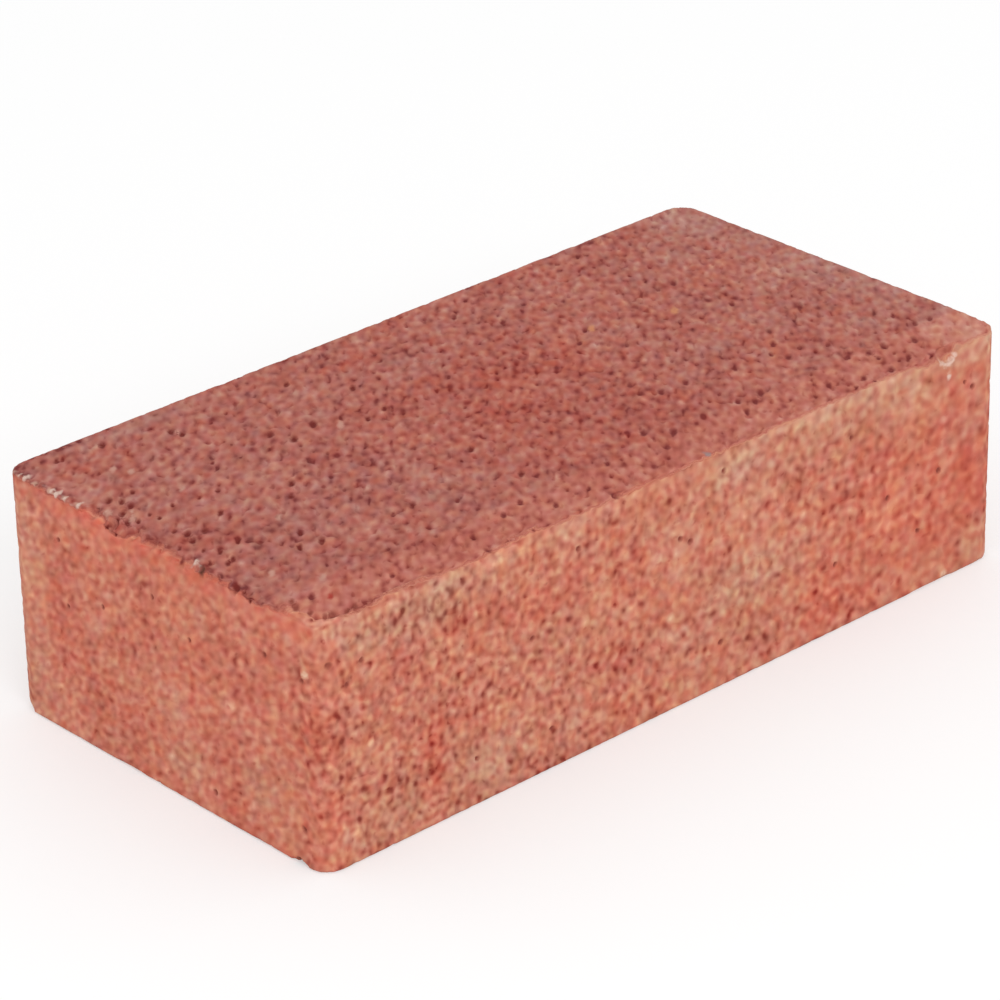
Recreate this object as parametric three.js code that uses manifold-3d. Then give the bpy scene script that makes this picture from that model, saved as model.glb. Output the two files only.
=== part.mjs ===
// Rectangular concrete paving stone, one pressed block.
//
// A damp red mix is rammed into a steel mould box and stripped at once. The box
// leaves four upright corners with a small radius and a sharp lower rim; the
// tamper head rolls the upper rim over; and handling breaks crumbs out of the
// rim while the block is green. The block is a loft of rounded rectangles up
// that wall section, and the scars are broken out of it afterwards.
//
// Millimetres. +X runs along the length, +Y across the width, +Z up through the
// thickness. The origin is the middle of the bed face, which lies on the ground.

import * as THREE from 'three';
import { mergeVertices } from 'three/addons/utils/BufferGeometryUtils.js';
import Module from 'manifold-3d';

const wasm = await Module();
wasm.setup();

// ------------------------------------------------------------ the block

const length = 200;
const width = 100;
const thickness = 57;
const cornerRadius = 5;      // upright corners, from the mould box
const arrisRadius = 1;       // rolled rim round the wearing face
const bedEase = 0.5;         // worn rim round the bed face
const sharpestCorner = 0.4;  // least radius left on a corner where a rim cuts in

const cornerFacets = 14;
const arrisFacets = 7;
const easeFacets = 3;

// ------------------------------------------------------------ the scars
// Each one is a crumb of mix that came away: where it lay on the block, how far
// it reaches along X, Y and Z from there, and its own break pattern.

const right = length / 2;
const left = -length / 2;
const front = -width / 2;
const back = width / 2;
const top = thickness;
const bed = 0;

const scars = [
  // The chip on the front arris near the right end, down to pale aggregate.
  { at: [right - 17, front, top - 0.6], reach: [3.4, 1.7, 2.6], pattern: 3 },
  { at: [right - 14.5, front + 0.3, top], reach: [2.2, 1.5, 1.5], pattern: 4 },
  // A nick in the same arris, left of the middle.
  { at: [right - 117.5, front + 0.2, top], reach: [1.3, 1.1, 1.2], pattern: 5 },
  // The rear lower corner of the left end, knocked off.
  { at: [left + 0.3, back - 0.3, bed], reach: [3.4, 4.6, 2.6], pattern: 6 },
  // The lower rim of the left end, near the front corner.
  { at: [left, front + 8, bed], reach: [1.1, 3.2, 1.1], pattern: 7 },
  // The upper corner between the left end and the front, rubbed down.
  { at: [left + 1.2, front + 1.2, top + 0.7], reach: [4.4, 4.4, 1.9], pattern: 8 },
];

// The left end's arris crumbled as the block left the mould: a run of overlapping
// crumbs that starts deep and dies out towards the front corner.
const crumble = {
  fromBack: 29,     // first crumb, from the rear corner
  toFront: 12,      // last crumb, from the front corner
  pitch: 3.1,       // from crumb to crumb
  deepReach: [2.1, 2.6, 2.3],
  shallowReach: [1.1, 1.7, 0.9],
  wander: 0.5,      // how far a crumb strays off the line of the arris
};

const crumbRoughness = 0.14;  // how far a broken face strays from its ellipsoid
const crumbFacets = 2;        // subdivision of the crumb's own shape

// ------------------------------------------------------------ shapes

// A repeatable number from 0 to 1 for a pair of whole numbers.
function scatter(seed, index) {
  const swing = Math.sin(seed * 127.1 + index * 311.7) * 43758.5453;
  return swing - Math.floor(swing);
}

// The wall section from the bed up: how far each level lies inside the mould
// line, and its height.
function wallSection() {
  const levels = [];
  for (let i = 0; i <= easeFacets; i += 1) {
    const turn = (Math.PI / 2) * (i / easeFacets);
    levels.push({ inset: bedEase * (1 - Math.sin(turn)), z: bedEase * (1 - Math.cos(turn)) });
  }
  const spring = thickness - arrisRadius;
  for (let i = 0; i <= arrisFacets; i += 1) {
    const turn = (Math.PI / 2) * (i / arrisFacets);
    levels.push({
      inset: arrisRadius * (1 - Math.cos(turn)),
      z: spring + arrisRadius * Math.sin(turn),
    });
  }
  return levels;
}

// The plan outline, anticlockwise, drawn in from the mould line by an inset.
function planOutline(inset) {
  const radius = Math.max(cornerRadius - inset, sharpestCorner);
  const centreX = length / 2 - inset - radius;
  const centreY = width / 2 - inset - radius;
  const centres = [[1, 1], [-1, 1], [-1, -1], [1, -1]];
  const outline = [];
  centres.forEach(([sideX, sideY], corner) => {
    for (let i = 0; i <= cornerFacets; i += 1) {
      const turn = (Math.PI / 2) * (corner + i / cornerFacets);
      outline.push(new THREE.Vector2(
        sideX * centreX + radius * Math.cos(turn),
        sideY * centreY + radius * Math.sin(turn),
      ));
    }
  });
  return outline;
}

// A closed loft of the plan outline up the wall section.
function loftBlock() {
  const levels = wallSection();
  const around = planOutline(0).length;
  const positions = [];
  levels.forEach(({ inset, z }) => {
    planOutline(inset).forEach((point) => positions.push(point.x, point.y, z));
  });

  const index = [];
  for (let level = 0; level < levels.length - 1; level += 1) {
    for (let i = 0; i < around; i += 1) {
      const next = (i + 1) % around;
      const a = level * around + i;
      const b = level * around + next;
      const c = (level + 1) * around + next;
      const d = (level + 1) * around + i;
      index.push(a, b, c, a, c, d);
    }
  }

  const lid = THREE.ShapeUtils.triangulateShape(planOutline(arrisRadius), []);
  const topStart = (levels.length - 1) * around;
  lid.forEach(([a, b, c]) => {
    index.push(topStart + a, topStart + b, topStart + c);
    index.push(c, b, a);
  });

  const geometry = new THREE.BufferGeometry();
  geometry.setAttribute('position', new THREE.Float32BufferAttribute(positions, 3));
  geometry.setIndex(index);
  return geometry;
}

// A crumb: an ellipsoid with a broken, knobbly face.
function crumb({ at, reach, pattern }) {
  const geometry = new THREE.IcosahedronGeometry(1, crumbFacets);
  geometry.deleteAttribute('normal');
  geometry.deleteAttribute('uv');
  const merged = mergeVertices(geometry, 1e-5);
  const position = merged.attributes.position;
  const vertex = new THREE.Vector3();
  for (let i = 0; i < position.count; i += 1) {
    const swell = 1 + crumbRoughness * (2 * scatter(pattern, i) - 1);
    vertex.fromBufferAttribute(position, i).multiplyScalar(swell);
    vertex.set(vertex.x * reach[0], vertex.y * reach[1], vertex.z * reach[2]);
    vertex.add(new THREE.Vector3(...at));
    position.setXYZ(i, vertex.x, vertex.y, vertex.z);
  }
  return merged;
}

// The crumbs of the left end's arris, from the rear towards the front corner.
function crumbledArris() {
  const run = width - crumble.fromBack - crumble.toFront;
  const count = Math.floor(run / crumble.pitch) + 1;
  const crumbs = [];
  for (let i = 0; i < count; i += 1) {
    const fade = i / Math.max(count - 1, 1);
    const stray = crumble.wander * (2 * scatter(11, i) - 1);
    crumbs.push({
      at: [left + 0.2 + 0.5 * stray, back - crumble.fromBack - i * crumble.pitch, top + 0.4 * fade],
      reach: crumble.deepReach.map((deep, axis) => {
        const worn = THREE.MathUtils.lerp(deep, crumble.shallowReach[axis], fade);
        return worn * (0.8 + 0.4 * scatter(17, i));
      }),
      pattern: 20 + i,
    });
  }
  return crumbs;
}

// ------------------------------------------------------------ joins and cuts

function toSolid(geometry) {
  return new wasm.Manifold(new wasm.Mesh({
    numProp: 3,
    vertProperties: Float32Array.from(geometry.attributes.position.array),
    triVerts: Uint32Array.from(geometry.index.array),
  }));
}

function toGeometry(solid) {
  const mesh = solid.getMesh();
  const geometry = new THREE.BufferGeometry();
  geometry.setAttribute('position', new THREE.BufferAttribute(mesh.vertProperties, 3));
  geometry.setIndex(new THREE.BufferAttribute(mesh.triVerts, 1));
  geometry.computeVertexNormals();
  return geometry;
}

function breakOut(block, crumbs) {
  return crumbs.reduce((stone, one) => stone.subtract(toSolid(crumb(one))), block);
}

// ------------------------------------------------------------ the stone

const redConcrete = new THREE.MeshStandardMaterial({
  name: 'red_concrete',
  color: new THREE.Color().setRGB(0.70, 0.44, 0.37, THREE.SRGBColorSpace),
  roughness: 0.93,
  metalness: 0,
  flatShading: true,
});

const block = breakOut(toSolid(loftBlock()), [...scars, ...crumbledArris()]);

const pavingStone = new THREE.Mesh(toGeometry(block), redConcrete);
pavingStone.name = 'paving_stone';

const model = new THREE.Group();
model.name = 'concrete_paving_stone';
model.add(pavingStone);

export default model;
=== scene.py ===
"""A red concrete paving stone: its open-grained skin, finish, floor, light and camera.

The block is one pressed casting. Its own faces, taken from the frame, are laid over
with an even grid; grain, pores, marks and wear are sunk into that grid; and the
finish is painted from the same patterns, with painted shade in each pore and pit,
so that a dark pore is also a hollow.

Sizes and places are in millimetres in the block's own frame, and are turned into
Blender's metres only where they meet the mesh, the camera or the floor.
"""
import math
from typing import NamedTuple

import bpy
from mathutils import Matrix, Vector


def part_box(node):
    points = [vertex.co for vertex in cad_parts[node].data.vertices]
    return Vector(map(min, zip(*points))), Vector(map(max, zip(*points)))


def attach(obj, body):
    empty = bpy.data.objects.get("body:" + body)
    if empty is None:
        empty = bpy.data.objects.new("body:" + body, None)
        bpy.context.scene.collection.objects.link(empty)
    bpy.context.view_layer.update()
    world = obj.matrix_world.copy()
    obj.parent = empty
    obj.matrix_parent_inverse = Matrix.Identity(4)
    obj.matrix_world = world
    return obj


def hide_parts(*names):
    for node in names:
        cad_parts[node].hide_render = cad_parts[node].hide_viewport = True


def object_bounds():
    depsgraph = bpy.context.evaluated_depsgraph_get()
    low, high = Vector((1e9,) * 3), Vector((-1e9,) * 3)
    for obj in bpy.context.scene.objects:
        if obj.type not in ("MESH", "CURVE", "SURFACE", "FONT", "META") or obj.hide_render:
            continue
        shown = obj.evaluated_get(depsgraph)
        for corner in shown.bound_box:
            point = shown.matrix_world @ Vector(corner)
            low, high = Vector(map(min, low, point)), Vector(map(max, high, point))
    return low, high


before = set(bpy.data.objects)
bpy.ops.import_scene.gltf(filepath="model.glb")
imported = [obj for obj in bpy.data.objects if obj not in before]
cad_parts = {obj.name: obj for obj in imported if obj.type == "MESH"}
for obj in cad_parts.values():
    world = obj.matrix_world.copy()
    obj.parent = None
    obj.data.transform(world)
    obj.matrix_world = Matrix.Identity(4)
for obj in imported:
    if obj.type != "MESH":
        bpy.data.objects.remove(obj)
cad_low, cad_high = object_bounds()

MM = 0.001
NODE = "paving_stone"

# ------------------------------------------------------------ the block

(left, front, bed), (right, back, top) = [
    [value / MM for value in corner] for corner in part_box(NODE)
]
CORNER = 5.0            # radius of the upright corners
GRID = 0.5              # spacing of the skin's grid before it is thinned
TRIANGLES = 196_000     # the thinned skin
GUARD = 0.02            # least gap from the finished skin to the block's own box

# ------------------------------------------------------------ the grain

LUMP = 1.45             # across a grain of sand
PORE = 1.35             # across an open pore
CLUSTER = 7.0           # across a patch with more or fewer pores
CLUSTERING = 0.1        # how far such a patch shifts the level at which a pore opens
TONE = 1.45             # across a patch of one tone
MOTTLE = 3.05           # across a patch that is a little darker or paler
HUE = 1.8               # across a patch of one hue
PORES_ON_TOP = -1.3     # the level of the pore pattern below which a pore opens
PORES_ON_SIDES = -1.9   # and the same for the sides, where fewer open
PORE_DEPTH = 0.35       # of a pore in the wearing face
GRAIN_HEIGHT = 0.2      # how strongly the grain sinks and lifts the wearing face
RIM_WEAR = 0.18         # how far the rims are worn down where wear is full
FRONT_FALL = 0.4        # how far the wearing face drops towards the front arris

GRAIN_HEADING = math.radians(47.8)  # the tamper drew the wearing face's grain this way
GRAIN_DRAWN = 1.8       # how much longer a grain lies along that heading
MARK_DRAWN = 2.2        # and a mark
MARK_STIR = 0.3         # how ragged a mark's rim is
MARK_SLACK = 0.4        # see marked_share
OFF_FACE = 0.4          # see facing

SIDE_GRAIN = (1 / 1.27, 1 / 1.4, 1 / 1.12)  # the sides' grain is that much coarser
SIDE_SLIDE = 0.15       # how far it leans along the length
END_SLIDE = 0.32        # and along the width
COARSER = 0.22          # the gain in its size from the left end to the right
ROUND_GRAIN = 1.05      # how fine it is round an upright corner

DOT = 2.1               # spacing of the round grains that stand out
DOT_CORE = 0.1          # one is at its full strength within this share of that spacing
DOT_RIM = 0.62          # and gone beyond this one

RUBBING = 12            # how often the rubbed corner is evened out


# ------------------------------------------------------------ the view

AZIMUTH = -42.24        # degrees; 0 looks along +Y
ELEVATION = 26.58
ROLL = -1.28
DISTANCE = 980.94       # millimetres from the camera to the origin's plane
ACROSS = -4.58          # the origin's place from the optical axis, sideways
UPWARD = 28.19          # and upwards
FOCAL_LENGTH = 160.16
SENSOR = 36.0           # across the frame
FRAME = 1000            # pixels across the frame, and down it

X_AXIS, Y_AXIS, Z_AXIS = range(3)


def camera_axes():
    """The camera's own axes: sideways, upwards and back towards the camera."""
    azimuth, elevation, roll = (math.radians(angle) for angle in (AZIMUTH, ELEVATION, ROLL))
    towards = Vector((
        math.sin(azimuth) * math.cos(elevation),
        -math.cos(azimuth) * math.cos(elevation),
        math.sin(elevation),
    ))
    level = Vector((0, 0, 1)).cross(towards).normalized()
    upright = towards.cross(level)
    side = math.cos(roll) * level + math.sin(roll) * upright
    rise = -math.sin(roll) * level + math.cos(roll) * upright
    return side, rise, towards


def on_face(spots, axis, level):
    """Spots given by the pixel that shows them and a radius, as places on the face that lies
    at a level of one axis: the other two coordinates, to a tenth of a millimetre, and radius."""
    side, rise, towards = camera_axes()
    eye = ACROSS * side + UPWARD * rise + DISTANCE * towards
    pixel = SENSOR / FOCAL_LENGTH / FRAME
    places = []
    for across, down, radius in spots:
        ray = (across - FRAME / 2) * pixel * side - (down - FRAME / 2) * pixel * rise - towards
        place = eye + (level - eye[axis]) / ray[axis] * ray
        flat = [round(value, 1) for index, value in enumerate(place) if index != axis]
        places.append((*flat, radius))
    return places


# ------------------------------------------------------------ the marks
# Open pits and foreign grains that stand out. The place of each was judged. A list
# whose name ends in pixels holds them as they show in the camera's frame: pixels across and
# down, then the radius in millimetres. The others are in millimetres throughout.

class Mark(NamedTuple):
    place: tuple        # on the mould's own faces
    radius: float
    depth: float        # below zero stands proud
    paint: tuple        # screen values from 0 to 255


# The dark colours of the pits are painted shade, where their hollows fall into shade; the olive one
# has a tint of its own as well.
PIT_SHADE_RED = (120, 45, 42)
PIT_SHADE_WINE = (112, 36, 30)
PIT_SHADE_BROWN = (140, 68, 56)
OLIVE_PIT_SHADE = (88, 46, 34)
# a pale crumb, painted paler still as a highlight
PALE_BEAD_AND_HIGHLIGHT = (214, 184, 170)
PALE_GRAIN = (190, 138, 122)
BROKEN = (220, 184, 168)
CHALK = (224, 182, 154)
OCHRE = (196, 128, 92)
SLATE = (150, 128, 126)
SCARLET = (170, 62, 52)
HOLE_SHADE_BLACK = (52, 34, 34)

PIT_SUNK = 0.35         # depths: a pit of the wearing face or its left arris
SIDE_PIT_SUNK = 0.45    # a pit of a side
RIM_PIT_SUNK = 0.3      # a pit of the front arris
CORNER_PIT_SUNK = 0.2   # a pit about the rubbed corner
CRUMB_SUNK = 0.1        # broken grains in the chip
BEAD_SUNK = -0.25       # a crumb that stands proud
FLUSH = 0.0

# On the wearing face, as X, Y and radius.
left_pits = [
    (-64.0, 38.5, 0.9), (-63.0, 36.0, 0.8), (-22.5, 27.5, 0.8), (-48.0, 17.2, 0.9),
    (-30.5, 13.5, 0.7), (-24.5, 15.0, 0.7), (-78.5, 43.7, 0.8), (-31.5, 39.0, 0.7),
    (-62.0, 1.6, 0.8), (-25.0, -13.0, 0.8), (-25.5, -29.0, 0.8), (-51.0, -23.7, 0.8),
    (-75.5, -17.0, 0.8), (-79.6, -21.6, 0.7), (-74.5, -22.6, 0.8), (-88.5, -2.4, 0.9),
    (-93.0, -4.2, 0.8), (-75.0, 9.7, 0.6), (-90.0, 44.5, 0.7), (-98.9, 3.3, 0.7),
]
left_pit_pixels = [
    (270, 434, 0.8), (313.4, 423.6, 0.9), (291, 495, 0.7), (187, 533, 0.8),
    (221, 512, 0.7), (109, 500, 0.8), (121.7, 500.7, 0.7), (130.7, 505.6, 0.8),
    (122.6, 512.9, 0.7), (117.6, 518.7, 0.6), (127.1, 521.5, 0.8), (138.9, 520.5, 0.6),
    (131.2, 528.7, 0.6), (180, 547.2, 0.5), (220.2, 551.2, 0.6), (209.8, 562, 0.5),
    (238.7, 539.4, 0.6), (233.3, 558.4, 0.7), (227.8, 562.9, 0.7), (132.5, 491.6, 0.6),
    (159.2, 517.4, 0.5), (149.7, 513.8, 0.5), (174.1, 530.9, 0.5), (172.3, 504.7, 0.5),
    (203.4, 549.8, 0.5),
]
right_pits = [
    (18.0, 39.5, 0.7), (24.0, 30.0, 0.7), (65.5, 18.0, 0.8), (33.5, 13.5, 0.7),
    (28.0, 9.5, 0.7), (66.5, 0.5, 0.7), (76.5, -11.0, 0.9), (30.0, -21.5, 0.8),
    (23.0, -21.0, 0.8), (20.5, -14.0, 0.7), (57.5, -21.0, 0.8), (55.0, -28.2, 0.9),
    (37.5, -36.6, 0.9), (33.9, -38.6, 0.8), (29.0, -41.0, 0.7), (11.0, -37.0, 0.9),
    (6.0, -33.0, 0.8), (5.0, -41.0, 0.8), (81.0, -41.4, 0.9), (69.0, -39.0, 0.8),
    (51.0, -44.0, 0.7), (66.5, -48.0, 0.9), (73.8, -38.9, 0.9), (68.6, -42.2, 0.6),
    (73.9, -46.2, 0.6), (54.5, -48.9, 0.6),
]
right_pit_pixels = [
    (311, 595.4, 0.8), (212, 462, 0.5), (848, 356, 0.7), (915, 323, 0.7),
    (930, 318, 0.7), (864, 376, 0.7), (893, 315, 0.6), (828, 344, 0.6),
    (771, 354, 0.6), (738, 401, 0.7), (607, 463, 0.7), (589, 487, 0.5),
    (556, 503, 0.7), (520, 502, 0.7), (504, 514, 0.7), (457, 500, 0.6),
    (473, 536, 0.7), (393, 514, 0.6), (392, 574, 0.6),
]
corner_pits = [
    (-96.8, -40.6, 0.8), (-96.0, -38.4, 0.7), (-96.0, -44.0, 0.6), (-95.0, -47.2, 0.6),
    (-93.4, -47.6, 0.9), (-90.3, -48.4, 0.6), (-87.8, -48.0, 0.6),
]
arris_crumbs = [
    (-95.4, 12.3, 0.7), (-99.5, 9.4, 0.5), (-99.6, 15.6, 0.6), (-93.5, 14.8, 0.5),
]
arris_crumb_pixels = [(108, 512, 0.8)]
pale_grains = [
    (-84.0, 33.0, 0.8), (-82.0, 29.5, 0.8), (-79.5, 15.8, 0.8), (-74.0, -8.5, 0.8),
    (-91.0, -26.5, 0.8), (-85.0, -35.0, 0.8), (-36.5, 15.4, 0.8),
]

# On the long front side, as X, Z and radius.
front_pits = [
    (47.5, 16.7, 0.7), (91.0, 45.0, 0.9), (64.0, 27.0, 0.7), (12.0, 11.0, 0.8),
    (0.0, 40.1, 0.8), (2.9, 38.4, 0.8), (74.0, 15.4, 0.7), (-42.5, 32.7, 0.7),
    (-58.5, 11.0, 0.7), (-37.5, 9.7, 0.7),
]
front_pit_pixels = [
    (939, 470, 0.8), (965, 382, 0.6), (934, 358, 0.7), (579, 549, 0.8),
    (852, 438, 0.7), (724, 471, 0.7), (361.7, 660.2, 0.7), (347.4, 685, 0.7),
    (329.2, 666.9, 0.8),
]
chip_crumbs = [
    (80.5, 54.3, 0.8), (81.8, 53.6, 0.9), (83.0, 53.1, 0.9), (84.2, 53.6, 0.8),
    (85.1, 54.6, 0.6), (83.1, 49.9, 0.8),
]
# Along the front arris, as X and radius.
rim_pits = [(-53.3, 0.8), (-41.0, 0.4), (-18.0, 1.1), (60.0, 0.5), (78.3, 0.8)]

# On the left end, as Y, Z and radius.
end_pits = [
    (1.5, 44.5, 0.6), (-44.0, 9.0, 0.8), (-16.0, 6.0, 0.7), (-45.0, 43.2, 0.7),
]
end_pit_pixels = [
    (102.4, 607, 0.6), (189, 640, 0.6), (68, 606, 0.6), (58, 540, 0.6),
    (263.4, 654.5, 0.8),
]
arris_pits = [
    (9.9, 56.6, 0.5), (-8.7, 57.0, 0.8), (-25.7, 57.0, 0.9), (-29.4, 56.6, 0.5),
    (-27.8, 56.4, 0.5), (-30.2, 55.3, 0.6),
]
arris_pit_pixels = [
    (105.4, 526.9, 0.6), (115, 535, 0.5), (125.3, 535.9, 0.5), (141.6, 541.3, 0.7),
]
# Along the left end's arris, as Y and radius.
arris_beads = [
    (45.0, 0.4), (43.0, 0.7), (34.2, 0.5), (32.4, 0.8), (29.6, 0.4), (25.0, 0.6),
    (19.5, 0.4), (-11.6, 0.8),
]

left_pits += on_face(left_pit_pixels, Z_AXIS, top)
right_pits += on_face(right_pit_pixels, Z_AXIS, top)
arris_crumbs += on_face(arris_crumb_pixels, Z_AXIS, top)
front_pits += on_face(front_pit_pixels, Y_AXIS, front)
end_pits += on_face(end_pit_pixels, X_AXIS, left)
arris_pits += on_face(arris_pit_pixels, X_AXIS, left)

marks = [
    # The wearing face.
    *[Mark((x, y, top), radius, PIT_SUNK, PIT_SHADE_WINE) for x, y, radius in left_pits],
    *[Mark((x, y, top), radius, PIT_SUNK, PIT_SHADE_RED) for x, y, radius in right_pits],
    *[Mark((x, y, top), radius, CORNER_PIT_SUNK, PIT_SHADE_BROWN) for x, y, radius in corner_pits],
    *[Mark((x, y, top), radius, FLUSH, PALE_GRAIN) for x, y, radius in arris_crumbs],
    *[Mark((x, y, top), radius, FLUSH, PALE_GRAIN) for x, y, radius in pale_grains],
    # The left end's arris: crumbs that dried proud of it, pale in themselves and painted paler still
    # as a highlight, and pits where others came away.
    *[Mark((left + 0.9, y, top - 0.3), radius, BEAD_SUNK, PALE_BEAD_AND_HIGHLIGHT) for y, radius in arris_beads],
    *[Mark((left + 0.3, y, z), radius, PIT_SUNK, PIT_SHADE_WINE) for y, z, radius in arris_pits],
    Mark((left + 0.4, -14.9, 57.0), 0.8, 0.3, OLIVE_PIT_SHADE),
    # The sides, the front arris and the pale bottom of its chip.
    *[Mark((x, front, z), radius, SIDE_PIT_SUNK, PIT_SHADE_BROWN) for x, z, radius in front_pits],
    *[Mark((left, y, z), radius, SIDE_PIT_SUNK, PIT_SHADE_BROWN) for y, z, radius in end_pits],
    *[Mark((x, front + 0.3, top - 0.1), radius, RIM_PIT_SUNK, PIT_SHADE_RED) for x, radius in rim_pits],
    *[Mark((x, front, z), radius, CRUMB_SUNK, BROKEN) for x, z, radius in chip_crumbs],
    # Grains of sand that took no pigment, and one hole painted black as its shade.
    Mark((83, front, 1.2), 1.2, 0.1, CHALK),
    Mark((left, -46, 45), 0.9, 0.1, CHALK),
    Mark((35, 13, top), 0.9, 0.0, OCHRE),
    Mark((55, 7, top), 1.0, 0.0, OCHRE),
    Mark((9, front + 0.4, top - 0.1), 0.8, 0.1, SLATE),
    Mark((-89, -42, top), 0.7, 0.0, SCARLET),
    Mark((left, -42, 0.6), 1.2, 0.7, HOLE_SHADE_BLACK),
]


# ------------------------------------------------------------ the arrises

class Drop(NamedTuple):
    """A stretch of an arris over which the wearing face's grain runs down the side, or,
    with a fall below zero, stops short of the arris."""
    middle: float
    reach: float
    fall: float


left_drops = [
    Drop(12.5, 6.0, 1.5), Drop(3.8, 2.2, 0.7), Drop(-8.0, 2.2, 0.5),
    Drop(-14.0, 2.0, 0.4), Drop(-25.0, 2.0, 0.5), Drop(-31.0, 4.5, 0.9),
]
front_drops = [
    Drop(-76.0, 12.0, -0.8), Drop(-42.8, 6.0, -0.7), Drop(77.5, 7.0, 1.5), Drop(83.5, 3.0, 1.4),
]


# ------------------------------------------------------------ the zones
# The mix was not stirred evenly: some zones are redder, sandier, paler or closed over.

class Zone(NamedTuple):
    middle: tuple
    reach: tuple
    redder: float       # towards the red of the pigment, or below zero towards the sand
    paler: float        # in spreads of tone
    calm: float         # how far the grain is closed over, from 0 to 1


zones = [
    # The wearing face.
    Zone((-70, -10, top), (40, 60, 9), -0.2, -0.1, 0.0),
    Zone((2, -8, top), (40, 50, 9), 0.55, -0.3, 0.0),
    Zone((48, -12, top), (7, 5, 9), -0.8, 0.3, 0.2),
    Zone((66, -9, top), (6, 5, 9), -0.8, 0.2, 0.2),
    Zone((78, 29, top), (8, 6, 9), -0.9, 0.3, 0.2),
    Zone((-6, 28, top), (12, 9, 9), -0.7, 0.3, 0.2),
    Zone((80, -27, top), (8, 6, 9), -0.9, 0.1, 0.2),
    Zone((90, 40, top), (14, 13, 9), -0.9, 0.5, 0.2),
    Zone((100, 0, top), (22, 70, 9), -0.9, 0.35, 0.2),
    Zone((92, -43, top), (14, 11, 9), -1.1, 1.3, 0.3),
    Zone((-15, 18, top), (15, 11, 9), 0.2, -0.5, 0.0),
    Zone((-86, 0, top), (18, 13, 9), 0.3, -0.4, 0.0),
    Zone((-89, -42, top), (6, 4, 6), 1.6, 0.0, 0.0),
    Zone((-18, 38, top), (9, 3, 6), 1.2, 0.0, 0.2),
    Zone((-70, 46, top), (30, 5, 6), -0.8, 0.25, 0.3),
    # The long front side.
    Zone((-100, front, 28), (75, 9, 60), 0.0, -0.35, 0.0),
    Zone((-100, front, 50), (16, 8, 12), -0.2, -0.8, 0.0),
    Zone((-55, front, 43), (15, 6, 13), 0.2, -0.45, 0.0),
    Zone((-12, front, 36), (13, 6, 10), 0.4, -0.45, 0.0),
    Zone((29, front, 37), (13, 6, 9), 0.3, -0.4, 0.0),
    Zone((-86, front, 6), (17, 6, 9), -0.5, 0.4, 0.0),
    Zone((95, front, 5), (14, 6, 9), -0.4, 0.4, 0.0),
    Zone((68, front, 22), (42, 9, 32), 0.9, 0.1, 0.0),
    Zone((92, front, 23), (9, 6, 12), 1.0, 0.0, 0.1),
    Zone((89, front, 45), (13, 6, 9), 0.5, -0.1, 0.0),
    Zone((43, front, 9), (10, 6, 12), 1.1, -0.1, 0.1),
    Zone((-70, front, 13), (5, 5, 16), 1.1, -0.3, 0.0),
    Zone((-60, front, 10), (30, 6, 12), -0.7, 0.1, 0.0),
    Zone((-38, front, 40), (18, 6, 9), 0.8, -0.1, 0.0),
    Zone((14, front, 51), (11, 6, 6), -1.2, 0.6, 0.0),
    Zone((-70, front, 50), (34, 6, 7), -1.0, 0.0, 0.0),
    Zone((22, front, 24), (20, 6, 12), -0.8, 0.2, 0.0),
    Zone((55, front, 52), (45, 6, 9), -0.6, 0.4, 0.2),
    # The left end.
    Zone((left, -8, 10), (6, 9, 8), -0.9, 0.2, 0.2),
    Zone((left, -31, 13), (6, 8, 7), -0.9, 0.2, 0.1),
    Zone((left, -4, 20), (6, 6, 6), -0.8, 0.2, 0.2),
    Zone((left, -14, 44), (6, 6, 6), -0.8, 0.2, 0.2),
    Zone((left, 33, 29), (6, 12, 11), 0.4, -0.1, 0.0),
    Zone((left, 34, 41), (6, 15, 8), 0.2, -0.4, 0.0),
    Zone((left, -44, 32), (6, 10, 20), 0.2, -0.3, 0.0),
    Zone((left, 48, 28), (9, 20, 60), -0.9, 0.3, 0.0),
]


# ------------------------------------------------------------ the colours

class Shade(NamedTuple):
    """The middle of a shade of the mix, and how far it runs darker and paler."""
    middle: tuple
    darker: tuple
    paler: tuple


# The wearing face's shades run darker than the sides': partly its own open grain and grey bloom,
# partly painted shade of the top face.
TOP_RUN = ((-53, -55, -47), (26, 40, 34))
SIDE_RUN = ((-65, -73, -62), (31, 51, 40))
RED_TOP = Shade((177, 87, 70), *TOP_RUN)
GREY_TOP = Shade((169, 111, 101), *TOP_RUN)
# painted highlight: the band along the front arris
LIT_BAND_TOP = Shade((184, 106, 90), *TOP_RUN)
RED_SIDE = Shade((200, 104, 83), *SIDE_RUN)
TAN_SIDE = Shade((192, 135, 111), *SIDE_RUN)
FIN = (208, 166, 148)
END_TINT = (1.06, 0.95, 0.96)

# Where a tone in spreads stands between a shade's middle and its darkest or palest.
TONE_STEPS = [
    (-3.0, -1.0), (-2.2, -0.65), (-1.4, -0.33), (-0.7, -0.14), (0.0, 0.0),
    (0.7, 0.2), (1.4, 0.42), (2.2, 0.66), (3.0, 1.0),
]


# ------------------------------------------------------------ node helpers

def linear(value):
    """A screen value from 0 to 255 as the linear value that nodes take."""
    share = value / 255
    return share / 12.92 if share <= 0.04045 else ((share + 0.055) / 1.055) ** 2.4


def paint(red, green, blue):
    return (linear(red), linear(green), linear(blue), 1.0)


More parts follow.
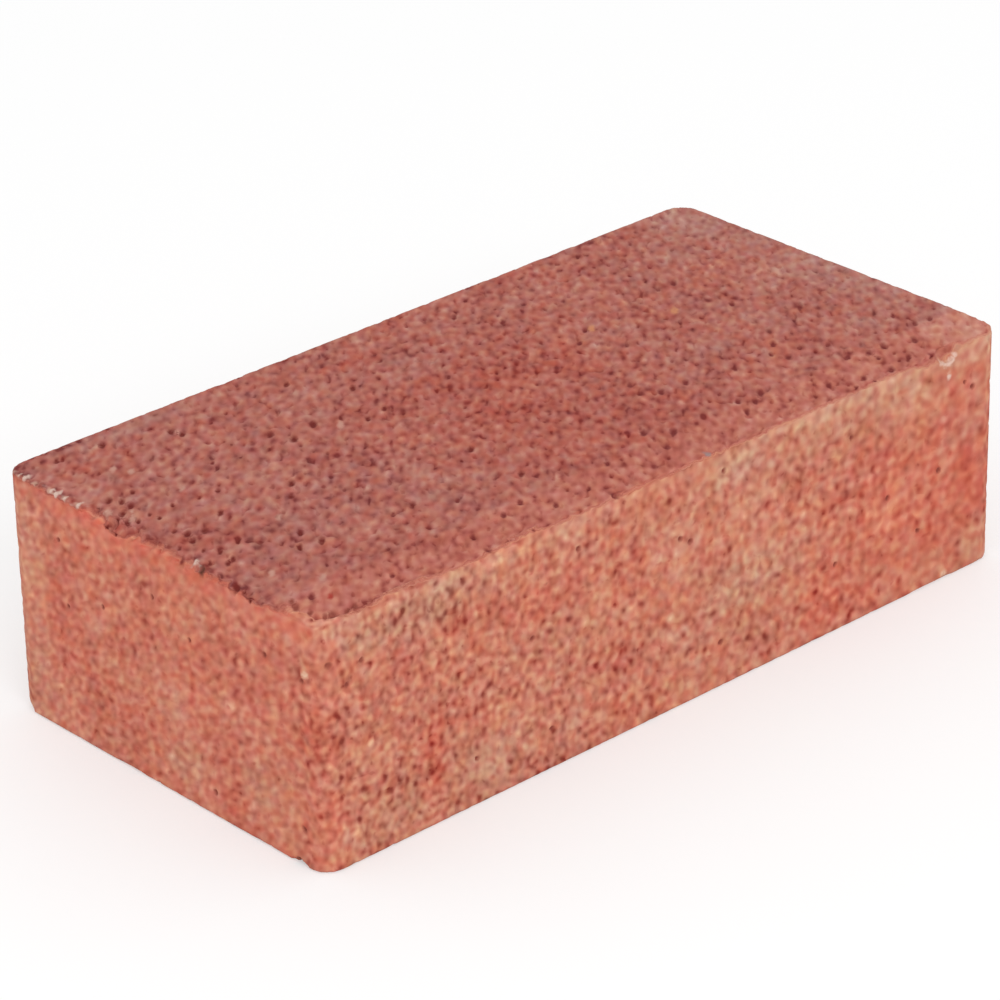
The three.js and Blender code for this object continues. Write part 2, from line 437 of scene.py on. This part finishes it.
class Tree:
    """Adds nodes to a tree, each wired or set by its inputs as it is made."""

    # How far each kind of noise strays from its middle, as a standard deviation.
    NOISE_SPREAD = {0.0: 0.133, 1.0: 0.099, 2.0: 0.087}

    def __init__(self, nodes):
        self.nodes = nodes

    def add(self, kind, inputs=None, **settings):
        node = self.nodes.nodes.new(kind)
        for name, value in settings.items():
            setattr(node, name, value)
        for key, value in (inputs or {}).items():
            self.plug(node.inputs[key], value)
        return node

    def plug(self, socket, value):
        if isinstance(value, bpy.types.NodeSocket):
            self.nodes.links.new(value, socket)
        else:
            socket.default_value = value

    def math(self, operation, *values):
        return self.add("ShaderNodeMath", dict(enumerate(values)), operation=operation).outputs[0]

    def total(self, *values):
        """The sum of any number of values."""
        result = values[0]
        for value in values[1:]:
            result = self.math("ADD", result, value)
        return result

    def product(self, *values):
        """The product of any number of values."""
        result = values[0]
        for value in values[1:]:
            result = self.math("MULTIPLY", result, value)
        return result

    def rest(self, share):
        """What is left of a share."""
        return self.math("SUBTRACT", 1.0, share)

    def vector(self, operation, *values, output=0):
        node = self.add("ShaderNodeVectorMath", dict(enumerate(values)), operation=operation)
        return node.outputs[output]

    def scaled(self, place, factor):
        inputs = {0: place, "Scale": factor}
        return self.add("ShaderNodeVectorMath", inputs, operation="SCALE").outputs[0]

    def length(self, place):
        return self.vector("LENGTH", place, output=1)

    def parts(self, place):
        """The three numbers of a vector."""
        return self.add("ShaderNodeSeparateXYZ", {0: place}).outputs

    def joined(self, *numbers):
        """A vector of three numbers."""
        return self.add("ShaderNodeCombineXYZ", dict(enumerate(numbers))).outputs[0]

    def ramp(self, value, low, high, to_low=0.0, to_high=1.0, kind="SMOOTHSTEP"):
        """value, mapped from low..high to to_low..to_high and held beyond them."""
        inputs = {0: value, 1: low, 2: high, 3: to_low, 4: to_high}
        return self.add("ShaderNodeMapRange", inputs, interpolation_type=kind).outputs[0]

    def line(self, value, low, high, to_low=0.0, to_high=1.0):
        """The same along a straight line."""
        return self.ramp(value, low, high, to_low, to_high, kind="LINEAR")

    def blend(self, share, first, second):
        """A colour between two others."""
        inputs = {0: share, 6: first, 7: second}
        return self.add("ShaderNodeMix", inputs, data_type="RGBA").outputs[2]

    def between(self, share, first, second):
        """A vector between two others."""
        inputs = {0: share, 4: first, 5: second}
        return self.add("ShaderNodeMix", inputs, data_type="VECTOR").outputs[1]

    def midway(self, share, first, second):
        """A number between two others."""
        inputs = {0: share, 2: first, 3: second}
        return self.add("ShaderNodeMix", inputs, data_type="FLOAT").outputs[0]

    def noise(self, place, size, detail=0.0, shift=0.0):
        """Noise from 0 to 1 whose lumps are about size millimetres across."""
        moved = self.vector("ADD", place, (shift, 2.3 * shift, -1.7 * shift))
        inputs = {"Vector": moved, "Scale": 1.0 / size, "Detail": detail}
        return self.add("ShaderNodeTexNoise", inputs).outputs[0]

    def swing(self, place, size, gain, detail=0.0, shift=0.0):
        """The same noise about zero, as a rule within twice the gain."""
        gain = gain / self.NOISE_SPREAD[detail]
        return self.math("MULTIPLY_ADD", self.noise(place, size, detail, shift), gain, -0.5 * gain)


# ------------------------------------------------------------ where a place lies on the block

def warped(tree, at, size, reach):
    """The place moved about by up to reach millimetres, to break straight edges."""
    stir = tree.add("ShaderNodeTexNoise", {"Vector": at, "Scale": 1.0 / size, "Detail": 1.0})
    off = tree.vector("SUBTRACT", stir.outputs["Color"], (0.5, 0.5, 0.5))
    return tree.vector("ADD", at, tree.scaled(off, 2 * reach))


def inset(tree, at):
    """How far a place lies inside the mould's upright walls."""
    half = ((right - left) / 2 - CORNER, (back - front) / 2 - CORNER, 0.0)
    beyond = tree.vector("SUBTRACT", tree.vector("ABSOLUTE", at), half)
    x, y, _ = tree.parts(beyond)
    outer = tree.vector("MAXIMUM", beyond, (0.0, 0.0, 0.0))
    level = tree.vector("MULTIPLY", outer, (1.0, 1.0, 0.0))
    inner = tree.math("MINIMUM", tree.math("MAXIMUM", x, y), 0.0)
    return tree.math("SUBTRACT", CORNER, tree.math("ADD", tree.length(level), inner))


def broken_share(tree, at):
    """1 where a crumb came away and the mix shows, deeper than any mould face."""
    height = tree.parts(at)[2]
    below = tree.math("SUBTRACT", top, height)
    nearest = tree.math("MINIMUM", inset(tree, at), tree.math("MINIMUM", below, height))
    return tree.ramp(nearest, 0.75, 1.05)


def fall_along(tree, value, drops):
    """How far the grain runs down at a place along an arris."""
    falls = []
    for drop in drops:
        off = tree.math("ABSOLUTE", tree.math("SUBTRACT", value, drop.middle))
        falls.append(tree.ramp(off, drop.reach, 0.3 * drop.reach, 0.0, drop.fall))
    return tree.total(*falls)


def arris_fall(tree, at):
    """How far the grain of the wearing face runs down the left end and the front."""
    x, y, _ = tree.parts(at)
    at_left = tree.ramp(x, left + 8.0, left + 5.0)
    at_front = tree.ramp(y, front + 5.0, front + 3.0)
    return tree.total(
        tree.product(fall_along(tree, y, left_drops), at_left),
        tree.product(fall_along(tree, x, front_drops), at_front),
    )


def rim_height(tree, at):
    """The height, stirred, by which the wearing face gives way to the sides."""
    height = tree.parts(at)[2]
    coarse = tree.swing(at, 3.5, 0.1, shift=7.0)
    fine = tree.swing(at, 1.3, 0.12, shift=17.0)
    return tree.total(height, tree.math("ADD", coarse, fine), arris_fall(tree, at))


def near_corner(tree, at):
    """1 about the rubbed upper corner between the left end and the front."""
    off = tree.vector("SUBTRACT", at, (left + 2.0, front + 1.0, top))
    return tree.ramp(tree.length(tree.vector("MULTIPLY", off, (1 / 9.0, 1 / 11.0, 1 / 7.0))), 1.0, 0.7)


def rim_inset(tree, at):
    """How far a place lies in from the walls, stirred; the left wall counts as further in."""
    leftwards = tree.product(tree.ramp(tree.parts(at)[0], left + 6.5, left + 3.5), -1.3)
    coarse = tree.swing(at, 2.6, 0.3, shift=23.0)
    fine = tree.swing(at, 1.0, 0.15, shift=29.0)
    return tree.total(inset(tree, at), leftwards, tree.total(coarse, fine))


def wearing_share(tree, at):
    """1 on the wearing face, 0 on the sides and the bed."""
    height = tree.parts(at)[2]
    lid = tree.ramp(height, top - 2.0, top - 1.4)
    face = tree.product(tree.ramp(inset(tree, at), 1.3, 2.3), lid)
    rolled = tree.math("MAXIMUM", face, tree.ramp(rim_height(tree, at), top - 1.1, top - 0.3))
    deeper_lid = tree.ramp(height, top - 3.0, top - 2.4)
    rubbed = tree.product(tree.ramp(rim_inset(tree, at), 0.9, 1.7), deeper_lid)
    return tree.midway(near_corner(tree, at), rolled, rubbed)


def rim_shade_share(tree, at):
    """1 along the very rim of the wearing face, where painted shade darkens it as the shade of its
    rolled-off rim.
    """
    rim = tree.ramp(inset(tree, at), 3.2, 1.8)
    patchy = tree.ramp(tree.swing(at, 1.6, 1.0, shift=37.0), -1.2, 0.8)
    return tree.product(tree.ramp(wearing_share(tree, at), 0.1, 0.6), rim, patchy)


# ------------------------------------------------------------ patterns shared by relief and colour

def turned(tree, place):
    """The place in axes that lie along the heading of the grain."""
    inputs = {"Vector": place, "Angle": -GRAIN_HEADING}
    return tree.add("ShaderNodeVectorRotate", inputs, rotation_type="Z_AXIS").outputs[0]


def drawn(tree, place, times):
    """The same, with the grain drawn out along that heading."""
    return tree.vector("MULTIPLY", turned(tree, place), (1 / times, 1.0, 1.0))


def grain_place(tree, at, wearing):
    """Where the grain patterns are read: drawn out on the wearing face, coarser on the sides."""
    half = ((right - left) / 2 - CORNER, (back - front) / 2 - CORNER, top)
    flat = tree.vector("MAXIMUM", tree.vector("MINIMUM", at, half), tuple(-value for value in half))
    round_corner = tree.vector("SUBTRACT", at, flat)
    x, y, _ = tree.parts(flat)
    lean = tree.total(tree.product(x, SIDE_SLIDE), tree.product(y, END_SLIDE))
    coarser = tree.joined(
        tree.line(x, left, right, 1.0 + COARSER / 2, 1.0 - COARSER / 2), 1.0,
        tree.line(x, left, right, 1.0, 1.0 - COARSER),
    )
    leaning = tree.vector("ADD", flat, tree.joined(0.0, 0.0, lean))
    side = tree.vector("MULTIPLY", tree.vector("MULTIPLY", leaning, coarser), SIDE_GRAIN)
    side = tree.vector("ADD", side, tree.scaled(round_corner, ROUND_GRAIN))
    return tree.between(wearing, side, drawn(tree, at, GRAIN_DRAWN))


def lumps(tree, place):
    """The grain itself, about zero."""
    return tree.swing(place, LUMP, 1.0, shift=3.0)


def dots(tree, place, shift):
    """Round grains that stand out, from 0 between them to 1 in the middle of a strong one."""
    moved = tree.vector("ADD", place, (shift, 2.3 * shift, -1.7 * shift))
    inputs = {"Vector": moved, "Scale": 1.0 / DOT, "Randomness": 0.85}
    cells = tree.add("ShaderNodeTexVoronoi", inputs).outputs
    strength = tree.line(tree.parts(cells["Color"])[0], 0, 1, 0.3, 1.0)
    return tree.product(tree.ramp(cells["Distance"], DOT_RIM, DOT_CORE), strength)


def pores(tree, place, rough):
    """Open pores between the grains, from 0 to 1 in the pore."""
    patchy = tree.swing(place, CLUSTER, CLUSTERING, shift=33.0)
    pattern = tree.total(tree.swing(place, PORE, 1.0, shift=31.0), patchy)
    limit = tree.line(rough, 0, 1, PORES_ON_SIDES, PORES_ON_TOP)
    return tree.ramp(tree.math("SUBTRACT", limit, pattern), -0.3, 0.8)


def zone_sum(tree, at):
    """What the zones a place lies in add up to, as redder, paler and calm."""
    wandering = warped(tree, at, 9.0, 2.5)
    parts = []
    for zone in zones:
        off = tree.vector("SUBTRACT", wandering, zone.middle)
        near = tree.length(tree.vector("MULTIPLY", off, tuple(1 / reach for reach in zone.reach)))
        share = tree.ramp(near, 1.0, 0.25)
        parts.append(tree.scaled(tree.joined(zone.redder, zone.paler, zone.calm), share))
    result = parts[0]
    for part in parts[1:]:
        result = tree.vector("ADD", result, part)
    return result


# ------------------------------------------------------------ marks as points

def facing(place):
    """How much a step along each axis counts from a mark: little off the face that it is on."""
    _, y, z = place
    if z >= top - 0.05:
        return (1.0, 1.0, OFF_FACE)
    if y <= front + 0.4:
        return (1.0, OFF_FACE, 1.0)
    return (OFF_FACE, 1.0, 1.0)


def drawn_place(place):
    """What drawn() makes of a mark's place, so that the nearest mark is found in those axes."""
    x, y, z = place
    along = x * math.cos(GRAIN_HEADING) + y * math.sin(GRAIN_HEADING)
    across = y * math.cos(GRAIN_HEADING) - x * math.sin(GRAIN_HEADING)
    return (along / MARK_DRAWN, across, z)


def marks_object():
    """The marks as points, each with its place, radius, depth, facing and colour."""
    mesh = bpy.data.meshes.new("marks")
    mesh.from_pydata([drawn_place(mark.place) for mark in marks], [], [])
    numbers = {
        "radius": [mark.radius for mark in marks],
        "depth": [mark.depth for mark in marks],
    }
    vectors = {
        "place": [value for mark in marks for value in mark.place],
        "facing": [value for mark in marks for value in facing(mark.place)],
        "paint": [linear(value) for mark in marks for value in mark.paint],
    }
    for name, values in numbers.items():
        mesh.attributes.new(name, "FLOAT", "POINT").data.foreach_set("value", values)
    for name, values in vectors.items():
        mesh.attributes.new(name, "FLOAT_VECTOR", "POINT").data.foreach_set("vector", values)
    points = bpy.data.objects.new("marks", mesh)
    bpy.context.scene.collection.objects.link(points)
    return points


def mark_distance(tree, at, place, radius, weigh):
    """Distance from a mark's middle, with 1 at its ragged rim."""
    off = tree.vector("SUBTRACT", warped(tree, at, 1.1, MARK_STIR), place)
    off = tree.vector("MULTIPLY", off, weigh)
    on_top = tree.ramp(tree.parts(weigh)[2], 0.8, 0.6)
    longer = tree.line(on_top, 0, 1, 1.0, 1 / MARK_DRAWN)
    pulled = tree.vector("MULTIPLY", turned(tree, off), tree.joined(longer, 1.0, 1.0))
    return tree.math("DIVIDE", tree.length(pulled), radius)


# ------------------------------------------------------------ the relief

def keep(tree, geometry, name, value, kind="FLOAT"):
    """Stores a value on the skin's points, for the finish to read."""
    inputs = {"Geometry": geometry, "Name": name, "Value": value}
    node = tree.add("GeometryNodeStoreNamedAttribute", inputs, data_type=kind, domain="POINT")
    return node.outputs[0]


def read(tree, name, kind="FLOAT"):
    node = tree.add("GeometryNodeInputNamedAttribute", {"Name": name}, data_type=kind)
    return node.outputs[0]


def nearest_mark(tree, marks_input, at):
    """The nearest mark's place, radius, depth, facing and colour."""
    points = tree.add("GeometryNodeObjectInfo", {"Object": marks_input}).outputs["Geometry"]
    inputs = {"Geometry": points, "Sample Position": drawn(tree, at, MARK_DRAWN)}
    index = tree.add("GeometryNodeSampleNearest", inputs, domain="POINT").outputs[0]

    def sample(name, kind):
        wanted = {"Geometry": points, "Value": read(tree, name, kind), "Index": index}
        node = tree.add("GeometryNodeSampleIndex", wanted, data_type=kind, domain="POINT")
        return node.outputs[0]

    return (
        sample("place", "FLOAT_VECTOR"),
        sample("radius", "FLOAT"),
        sample("depth", "FLOAT"),
        sample("facing", "FLOAT_VECTOR"),
        sample("paint", "FLOAT_VECTOR"),
    )


def rub_corner(tree, skin):
    """Evens out the skin about the rubbed corner, where the crumb broke away."""
    place = tree.add("GeometryNodeInputPosition").outputs[0]
    even = tree.add("GeometryNodeBlurAttribute", {"Iterations": RUBBING}, data_type="FLOAT_VECTOR")
    given = [socket for socket in even.inputs if socket.enabled and socket.name == "Value"][0]
    tree.plug(given, place)
    evened = [socket for socket in even.outputs if socket.enabled][0]
    share = near_corner(tree, tree.scaled(place, 1 / MM))
    goal = tree.between(share, place, evened)
    return tree.add("GeometryNodeSetPosition", {"Geometry": skin, "Position": goal}).outputs[0]


def widest(tree, lie):
    """The greatest of a normal's three parts: 1 on a flat face, less round a rim."""
    x, y, z = tree.parts(tree.vector("ABSOLUTE", lie))
    return tree.math("MAXIMUM", x, tree.math("MAXIMUM", y, z))


def sunk_depth(tree, given, at, lie, calm, reach, depth):
    """How deep each point of the skin is sunk below the block's own faces."""
    wearing = wearing_share(tree, at)
    rough = tree.math("MAXIMUM", wearing, broken_share(tree, at))
    place = grain_place(tree, at, wearing)
    open_grain = tree.line(lumps(tree, place), 1.6, -1.6)
    grain = tree.math("MULTIPLY", open_grain, tree.line(calm, 0, 1, 1.0, 0.3))
    rim = tree.ramp(widest(tree, lie), 0.985, 0.85)
    worn = tree.ramp(tree.swing(at, 2.5, 1.0, detail=1.0, shift=41.0), -0.5, 2.2)
    firm = tree.ramp(rim, 0, 1, 1.0, 0.2)
    pore = pores(tree, place, rough)
    y = tree.parts(at)[1]
    corner_rub = tree.ramp(rim_inset(tree, at), 3.0, 0.0)
    return tree.total(
        tree.product(pore, firm, tree.ramp(rough, 0, 1, 0.4, 1.0), given["Pore depth"]),
        tree.product(grain, firm, tree.ramp(rough, 0, 1, 0.3, 1.0), given["Grain height"]),
        tree.product(tree.ramp(reach, 1.15, 0.4), depth),
        tree.product(rim, worn, given["Rim wear"]),
        tree.product(wearing, tree.ramp(y, front + 12.5, front), given["Front fall"]),
        tree.product(near_corner(tree, at), corner_rub, 0.5),
        tree.product(tree.math("MAXIMUM", arris_fall(tree, at), 0.0), rim, 0.25),
    )


def relief_tree():
    """Sinks pores, grain and marks into the skin, and keeps what the finish reads."""
    nodes = bpy.data.node_groups.new("concrete_relief", "GeometryNodeTree")
    face = nodes.interface
    face.new_socket("Geometry", in_out="INPUT", socket_type="NodeSocketGeometry")
    for name in ("Pore depth", "Grain height", "Rim wear", "Front fall"):
        face.new_socket(name, in_out="INPUT", socket_type="NodeSocketFloat")
    face.new_socket("Marks", in_out="INPUT", socket_type="NodeSocketObject")
    face.new_socket("Finish", in_out="INPUT", socket_type="NodeSocketMaterial")
    face.new_socket("Geometry", in_out="OUTPUT", socket_type="NodeSocketGeometry")
    tree = Tree(nodes)
    given = tree.add("NodeGroupInput").outputs

    cast_at = tree.scaled(tree.add("GeometryNodeInputPosition").outputs[0], 1 / MM)
    skin = rub_corner(tree, given["Geometry"])
    skin = keep(tree, skin, "cast_at", cast_at, "FLOAT_VECTOR")
    normal = tree.add("GeometryNodeInputNormal").outputs[0]
    skin = keep(tree, skin, "lie", normal, "FLOAT_VECTOR")
    at = read(tree, "cast_at", "FLOAT_VECTOR")
    lie = read(tree, "lie", "FLOAT_VECTOR")

    mark_at, radius, depth, weigh, colour = nearest_mark(tree, given["Marks"], at)
    reach = mark_distance(tree, at, mark_at, radius, weigh)
    skin = keep(tree, skin, "mark_at", mark_at, "FLOAT_VECTOR")
    skin = keep(tree, skin, "mark_radius", radius)
    skin = keep(tree, skin, "mark_facing", weigh, "FLOAT_VECTOR")
    skin = keep(tree, skin, "mark_reach", tree.math("MINIMUM", reach, 4.0))
    skin = keep(tree, skin, "mark_paint", colour, "FLOAT_VECTOR")
    zone = zone_sum(tree, at)
    skin = keep(tree, skin, "zone", zone, "FLOAT_VECTOR")

    sunk = sunk_depth(tree, given, at, lie, tree.parts(zone)[2], reach, depth)
    off = tree.scaled(lie, tree.math("MULTIPLY", sunk, -MM))
    goal = tree.vector("ADD", tree.add("GeometryNodeInputPosition").outputs[0], off)
    lowest = tuple(low + GUARD * MM for low in cad_low)
    highest = tuple(high - GUARD * MM for high in cad_high)
    goal = tree.vector("MINIMUM", tree.vector("MAXIMUM", goal, lowest), highest)
    skin = tree.add("GeometryNodeSetPosition", {"Geometry": skin, "Position": goal}).outputs[0]
    skin = tree.add("GeometryNodeSetShadeSmooth", {"Geometry": skin}).outputs[0]
    skin = tree.add("GeometryNodeRealizeInstances", {"Geometry": skin}).outputs[0]
    finish = {"Geometry": skin, "Material": given["Finish"]}
    skin = tree.add("GeometryNodeSetMaterial", finish).outputs[0]
    tree.add("NodeGroupOutput", {0: skin})
    return nodes


# ------------------------------------------------------------ the skin

def set_input(modifier, name, value):
    socket = modifier.node_group.interface.items_tree[name]
    modifier[socket.identifier] = value


def plain_mesh(skin, name):
    """The skin as its modifiers make it."""
    made = skin.evaluated_get(bpy.context.evaluated_depsgraph_get())
    mesh = bpy.data.meshes.new_from_object(made)
    mesh.name = name
    return mesh


def cast_skin(finish):
    """The block's own faces on an even grid, with the relief sunk in, thinned and made plain."""
    draft = bpy.data.objects.new("draft_skin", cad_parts[NODE].data.copy())
    draft.data.materials.clear()
    bpy.context.scene.collection.objects.link(draft)
    weld = draft.modifiers.new("weld", "WELD")
    weld.merge_threshold = 0.01 * MM
    grid = draft.modifiers.new("grid", "REMESH")
    grid.mode = "VOXEL"
    grid.voxel_size = GRID * MM
    relief = draft.modifiers.new("relief", "NODES")
    relief.node_group = relief_tree()
    points = marks_object()
    set_input(relief, "Pore depth", PORE_DEPTH)
    set_input(relief, "Grain height", GRAIN_HEIGHT)
    set_input(relief, "Rim wear", RIM_WEAR)
    set_input(relief, "Front fall", FRONT_FALL)
    set_input(relief, "Marks", points)
    set_input(relief, "Finish", finish)
    thin = draft.modifiers.new("thin", "DECIMATE")
    full = plain_mesh(draft, "full_skin")
    thin.ratio = TRIANGLES / sum(len(face.vertices) - 2 for face in full.polygons)
    skin = bpy.data.objects.new("paver_skin", plain_mesh(draft, "paver_skin"))
    bpy.context.scene.collection.objects.link(skin)
    for spare in (draft, points):
        bpy.data.objects.remove(spare)
    bpy.data.meshes.remove(full)
    return skin


# ------------------------------------------------------------ the finish

def shaded(tree, tone, shade):
    """A shade's colour by tone in spreads, from dark wine through its middle to pale."""
    node = tree.add("ShaderNodeValToRGB", {0: tree.line(tone, -3.0, 3.0)})
    elements = node.color_ramp.elements
    lowest, highest = TONE_STEPS[0][0], TONE_STEPS[-1][0]
    for spread, shift in TONE_STEPS:
        if spread == lowest:
            element = elements[0]
        elif spread == highest:
            element = elements[-1]
        else:
            element = elements.new(0.5)
        element.position = (spread - lowest) / (highest - lowest)
        far = shade.darker if shift < 0 else shade.paler
        values = [value + abs(shift) * run for value, run in zip(shade.middle, far)]
        element.color = paint(*values)
    return node.outputs[0]


def top_colour(tree, tone, hue, stirred):
    """The wearing face, with the paler band along its front arris, painted as a highlight where the
    face falls towards the arris.
    """
    field = tree.blend(hue, shaded(tree, tone, RED_TOP), shaded(tree, tone, GREY_TOP))
    band = tree.ramp(tree.parts(stirred)[1], front + 14.0, front + 11.5)
    return tree.blend(tree.math("MULTIPLY", band, 0.8), field, shaded(tree, tone, LIT_BAND_TOP))


def with_fins(tree, at, colour):
    """Pale fins of laitance on the rear half of the left end's arris."""
    x, y, _ = tree.parts(at)
    fin = tree.product(
        tree.ramp(rim_height(tree, at), top - 0.7, top - 0.4),
        tree.ramp(x, left + 1.7, left + 0.7),
        tree.ramp(y, back - 33.0, back - 30.0),
        tree.ramp(tree.swing(at, 2.2, 1.0, shift=51.0), -0.7, 1.1, 0.0, 0.65),
    )
    return tree.blend(fin, colour, paint(*FIN))


def tinted(tree, at, place, sides, colour):
    """Grains that lean to yellow or blue, and the redder left end."""
    fine = tree.swing(place, 1.9, 0.04, shift=61.0)
    blue = tree.swing(place, 2.6, 0.045, shift=67.0)
    coarse_blue = tree.product(tree.swing(at, 11.0, 0.022, detail=1.0, shift=83.0), sides)
    tint = tree.joined(1.0, tree.total(1.0, fine), tree.total(1.0, fine, blue, coarse_blue))
    on_end = tree.product(tree.ramp(tree.parts(at)[0], left + 12.0, left + 0.5), sides)
    end_tint = tree.between(on_end, (1.0, 1.0, 1.0), END_TINT)
    return tree.vector("MULTIPLY", tree.vector("MULTIPLY", colour, tint), end_tint)


def marked_share(tree, at, reach, kept_reach):
    """1 inside a mark. The reach kept on the points holds back the one worked out between them,
    which is wrong on a triangle whose points lie nearest to different marks."""
    near = tree.ramp(kept_reach, 2.2, 1.8)
    held = tree.math("MAXIMUM", reach, tree.math("SUBTRACT", kept_reach, MARK_SLACK))
    patchy = tree.ramp(tree.swing(at, 0.9, 1.0, shift=91.0), -2.0, 0.5, 0.8, 1.0)
    return tree.product(near, tree.ramp(held, 1.3, 0.3), patchy)


def red_concrete():
    material = bpy.data.materials.new("red_concrete")
    material.use_nodes = True
    material.node_tree.nodes.clear()
    tree = Tree(material.node_tree)

    def kept(name, output="Fac"):
        return tree.add("ShaderNodeAttribute", attribute_name=name).outputs[output]

    at = kept("cast_at", "Vector")
    x, _, z = tree.parts(at)
    wearing = wearing_share(tree, at)
    sides = tree.rest(wearing)
    rough = tree.math("MAXIMUM", wearing, broken_share(tree, at))
    place = grain_place(tree, at, wearing)
    redder, paler, calm = tree.parts(kept("zone", "Vector"))
    stirred = warped(tree, at, 6.0, 1.5)
    end = tree.ramp(x, left + 1.5, left + 0.5)
    strip = tree.product(tree.ramp(tree.parts(stirred)[2], top - 6.0, top - 3.0), sides)
    calm = tree.math("MAXIMUM", calm, tree.product(strip, end, 0.55))

    # The grain stands out most to the left along the front, and less on the end.
    along = tree.total(tree.line(x, -70, -20, 1.07, 0.98), tree.line(x, 50, 90, 0.0, -0.22))
    stands_out = tree.math("MINIMUM", along, tree.ramp(x, left + 2.0, left + 1.0, 1.1, 0.83))
    uneven = tree.total(tree.midway(sides, 1.0, stands_out), tree.swing(at, 9.0, 0.04, shift=71.0))
    grain = tree.total(
        tree.math("MULTIPLY", lumps(tree, place), 0.4),
        tree.swing(place, TONE, 0.56, shift=11.0),
        tree.math("MULTIPLY", dots(tree, place, 101.0), -1.6),
        tree.math("MULTIPLY", dots(tree, place, 131.0), 1.4),
        tree.swing(place, MOTTLE, 0.12, shift=9.0),
        # painted shade: the colour is darkened in the open pores, where their hollows fall into shade
        tree.math("MULTIPLY", pores(tree, place, rough), -1.1),
    )
    tone = tree.total(
        tree.product(grain, tree.line(calm, 0, 1, 1.0, 0.4), uneven),
        tree.swing(at, 14.0, 0.25, detail=1.0, shift=19.0),
        paler,
        tree.product(strip, tree.ramp(end, 0, 1, 0.45, 0.1)),
        # painted shade just below the arris on the sides, against the light that the rim catches
        tree.product(tree.ramp(z, top - 1.6, top - 0.8), sides, -0.7),
        # painted shade along the rim of the wearing face, strongest towards the left end
        tree.product(rim_shade_share(tree, at), tree.line(x, left + 35, left + 12, 0.0, -1.4)),
    )
    sandier = tree.total(
        tree.swing(at, 20.0, 0.2, detail=1.0, shift=5.0),
        tree.swing(place, HUE, 0.45, shift=15.0),
        tree.product(redder, -1.6),
        tree.product(strip, tree.ramp(end, 0, 1, 0.5, -0.9)),
    )
    hue = tree.line(sandier, -2.2, 2.2)
    side_colour = tree.blend(hue, shaded(tree, tone, RED_SIDE), shaded(tree, tone, TAN_SIDE))
    colour = tree.blend(wearing, side_colour, top_colour(tree, tone, hue, stirred))
    colour = with_fins(tree, at, colour)
    colour = tinted(tree, at, place, sides, colour)

    reach = mark_distance(
        tree, at, kept("mark_at", "Vector"), kept("mark_radius"), kept("mark_facing", "Vector")
    )
    marked = marked_share(tree, at, reach, kept("mark_reach"))
    colour = tree.blend(marked, colour, kept("mark_paint", "Vector"))

    fine = tree.noise(at, 0.5, detail=2.0, shift=21.0)
    bump = tree.add("ShaderNodeBump", {"Height": fine, "Distance": 0.08 * MM, "Strength": 0.2})
    surface = tree.add("ShaderNodeBsdfPrincipled", {
        "Base Color": colour, "Normal": bump.outputs[0],
        "Roughness": 0.93, "Specular IOR Level": 0.25,
    })
    tree.add("ShaderNodeOutputMaterial", {"Surface": surface.outputs[0]})
    return material


# ------------------------------------------------------------ floor, light and camera

def lay_floor():
    bpy.ops.mesh.primitive_plane_add(size=6.0)
    floor = bpy.context.object
    floor.name = "floor"
    material = bpy.data.materials.new("pale_floor")
    material.use_nodes = True
    material.node_tree.nodes.clear()
    tree = Tree(material.node_tree)
    seen = tree.add("ShaderNodeLightPath").outputs["Is Camera Ray"]
    colour = tree.blend(seen, paint(235, 235, 235), paint(255, 255, 255))
    lit = tree.add("ShaderNodeBsdfDiffuse", {"Color": colour}).outputs[0]
    white = tree.add("ShaderNodeEmission", {"Strength": 1.0}).outputs[0]
    share = tree.math("MULTIPLY", seen, 0.4)
    surface = tree.add("ShaderNodeMixShader", {0: share, 1: lit, 2: white}).outputs[0]
    tree.add("ShaderNodeOutputMaterial", {"Surface": surface})
    floor.data.materials.append(material)


WORLD_STRENGTH = 0.9
LAMP_POWER = 10.0
LAMP_AT = (-0.75, -1.5, 1.1)    # metres, as the next two are
LAMP_SIZE = (0.9, 0.6)
LAMP_AIM = (0.0, 0.0, 0.03)


def light_up():
    world = bpy.data.worlds.new("studio")
    bpy.context.scene.world = world
    world.use_nodes = True
    sky = world.node_tree.nodes["Background"]
    sky.inputs["Color"].default_value = (1, 1, 1, 1)
    sky.inputs["Strength"].default_value = WORLD_STRENGTH
    lamp = bpy.data.lights.new("window", "AREA")
    lamp.shape = "RECTANGLE"
    lamp.size, lamp.size_y = LAMP_SIZE
    lamp.energy = LAMP_POWER
    holder = bpy.data.objects.new("window", lamp)
    holder.location = LAMP_AT
    aim = Vector(LAMP_AIM) - Vector(LAMP_AT)
    holder.rotation_euler = aim.to_track_quat("-Z", "Y").to_euler()
    bpy.context.scene.collection.objects.link(holder)


def place_camera():
    turn = Matrix(camera_axes()).transposed()
    place = turn @ Vector((ACROSS, UPWARD, DISTANCE)) * MM
    lens = bpy.data.cameras.new("camera")
    lens.sensor_width = SENSOR
    lens.lens = FOCAL_LENGTH
    lens.clip_start = 0.05
    camera = bpy.data.objects.new("camera", lens)
    camera.matrix_world = Matrix.Translation(place) @ turn.to_4x4()
    bpy.context.scene.collection.objects.link(camera)
    bpy.context.scene.camera = camera


# ------------------------------------------------------------ the scene

bpy.context.scene.view_settings.view_transform = "Standard"
place_camera()
lay_floor()
light_up()

skin = cast_skin(red_concrete())
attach(skin, "root")
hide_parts(NODE)
